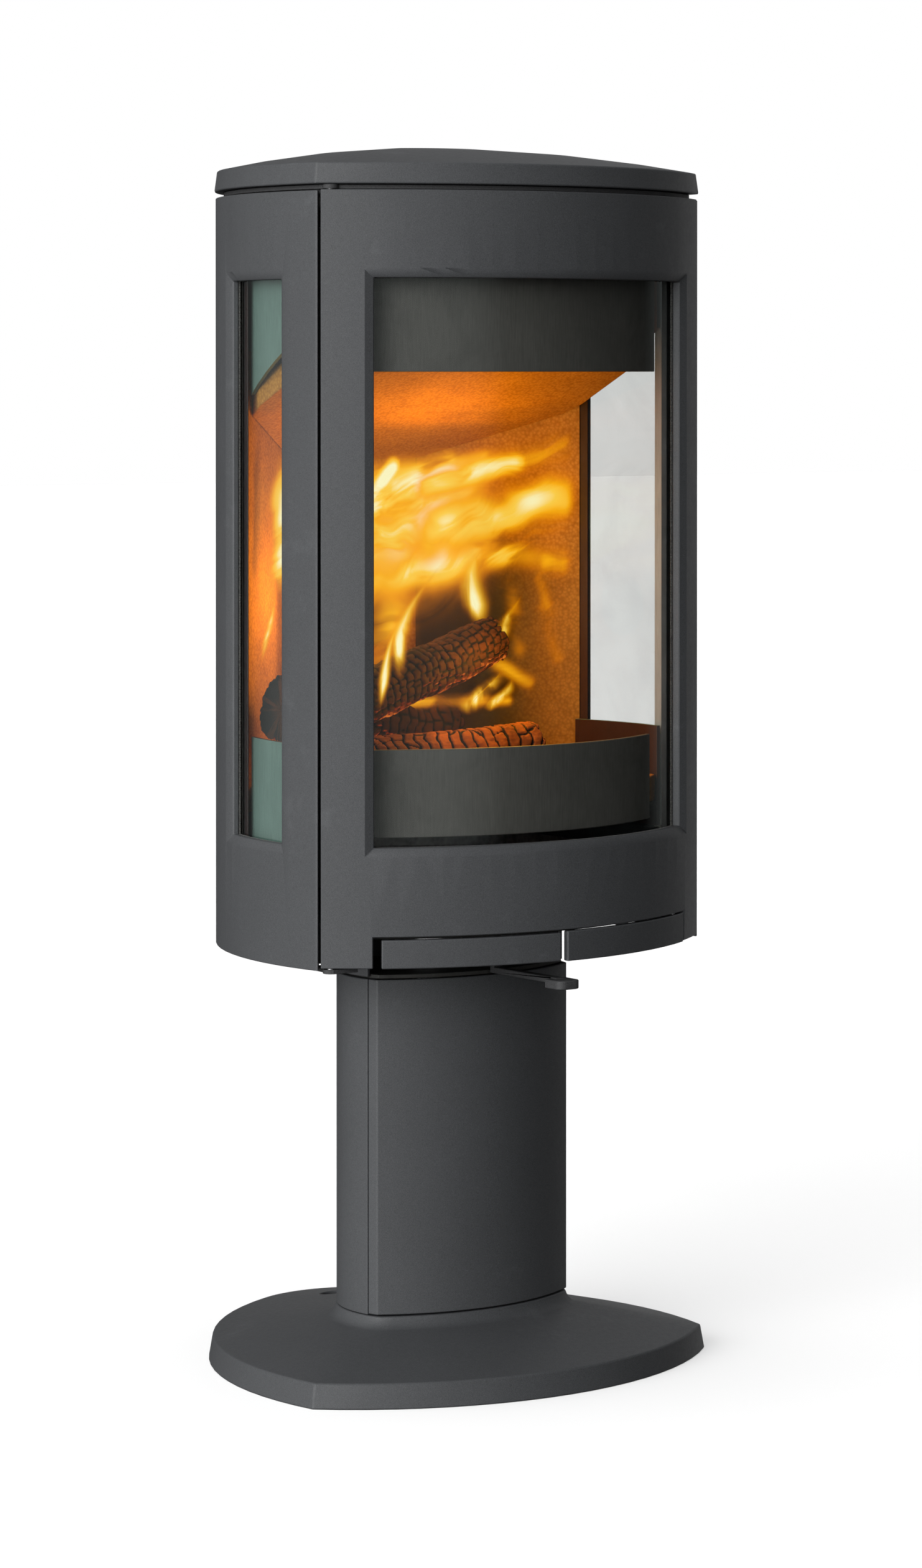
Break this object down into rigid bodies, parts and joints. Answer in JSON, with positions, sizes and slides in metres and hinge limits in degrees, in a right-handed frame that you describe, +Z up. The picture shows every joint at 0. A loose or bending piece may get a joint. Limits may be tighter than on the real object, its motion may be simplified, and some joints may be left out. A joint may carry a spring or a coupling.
{
  "type": "wood burning stove",
  "caption": "Free-standing wood burning stove with a curved glazed door and glazed sides on a pedestal, with a domed top plate, a rear flue outlet and a firebox with burning logs.",
  "frame": {"origin": "on the floor, at the bottom centre of the bounding box", "axes": "+Z up; -Y is the front, the side with the door; +X is to the right of a person facing the stove"},
  "size_m": [0.4908, 0.4765, 1.2],
  "materials": {
    "cast_paint": "fine-grained matte charcoal heat-proof paint over cast iron",
    "dark_cast": "unpainted dark grey casting with a slightly rough skin",
    "black_steel": "black heat-proof paint on folded steel, dulled by soot",
    "steel": "plain zinc-plated or turned steel",
    "clear_glass": "clear ceramic glass with a faint grey-green edge",
    "rope": "braided black glass-fibre rope and tape",
    "vermiculite": "pressed vermiculite board, granular and matte",
    "burnt_wood": "charred split log with a cracked, chequered surface"
  },
  "bodies": {
    "root": {"base_plate": "cast_paint", "pedestal_rear_shell": "cast_paint", "pedestal_top_plate": "black_steel", "pedestal_neck": "cast_paint", "air_inlet_duct": "steel", "body_floor": "black_steel", "left_side_panel": "cast_paint", "right_side_panel": "cast_paint", "back_panel": "cast_paint", "body_top": "dark_cast", "left_side_glass": "clear_glass", "right_side_glass": "clear_glass", "left_side_glass_seal": "rope", "right_side_glass_seal": "rope", "left_side_glass_strip_rear": "black_steel", "left_side_glass_strip_front": "black_steel", "right_side_glass_strip_rear": "black_steel", "right_side_glass_strip_front": "black_steel", "left_side_guard": "black_steel", "right_side_guard": "black_steel", "back_brick_centre": "vermiculite", "back_brick_left": "vermiculite", "back_brick_right": "vermiculite", "firebox_back": "black_steel", "oval_cover": "dark_cast", "flue_spigot": "dark_cast", "baffle": "vermiculite", "firebox_front_frame": "black_steel", "log_retainer": "black_steel", "front_deflector": "black_steel", "firebox_floor": "black_steel", "floor_brick_left": "vermiculite", "floor_brick_right": "vermiculite", "grate": "dark_cast", "ash_pan": "steel", "log_front": "burnt_wood", "log_rear": "burnt_wood", "log_upper": "burnt_wood", "hinge_bracket_lower": "dark_cast", "hinge_pin_lower": "steel", "hinge_pin_upper": "steel", "latch_keeper": "steel", "lower_trim": "cast_paint", "lever_pin": "steel"},
    "door": {"door_frame": "cast_paint", "door_glass": "clear_glass", "door_glass_seal": "rope", "door_rope_seal": "rope", "door_glass_clip_upper_left": "black_steel", "door_glass_clip_upper_right": "black_steel", "door_glass_clip_lower_left": "black_steel", "door_glass_clip_lower_right": "black_steel", "handle_pin": "steel"},
    "handle": {"door_handle": "cast_paint", "latch_hook": "steel"},
    "air_control": {"air_lever": "dark_cast", "air_shutter": "steel"},
    "top_cover": {"top_plate": "cast_paint"},
    "pedestal_cover": {"pedestal_front_cover": "cast_paint"}
  },
  "joints": [
    {"name": "door_hinge", "type": "hinge", "parent": "root", "child": "door", "pos_m": [-0.21679, -0.14623, 0.784], "axis": [0, 0, -1], "range_deg": [0, 110]},
    {"name": "handle_pivot", "type": "hinge", "parent": "door", "child": "handle", "pos_m": [0.16901, -0.17952, 0.43], "axis": [0, 0, 1], "range_deg": [0, 20]},
    {"name": "air_lever_pivot", "type": "hinge", "parent": "root", "child": "air_control", "pos_m": [0, -0.064, 0.435], "axis": [0, 0, 1], "range_deg": [-18, 18]},
    {"name": "top_plate_lift", "type": "slide", "parent": "root", "child": "top_cover", "axis": [0, 0, 1], "range_m": [0, 0.08]},
    {"name": "pedestal_cover_pull", "type": "slide", "parent": "root", "child": "pedestal_cover", "axis": [0, -1, 0], "range_m": [0, 0.08]}
  ]
}
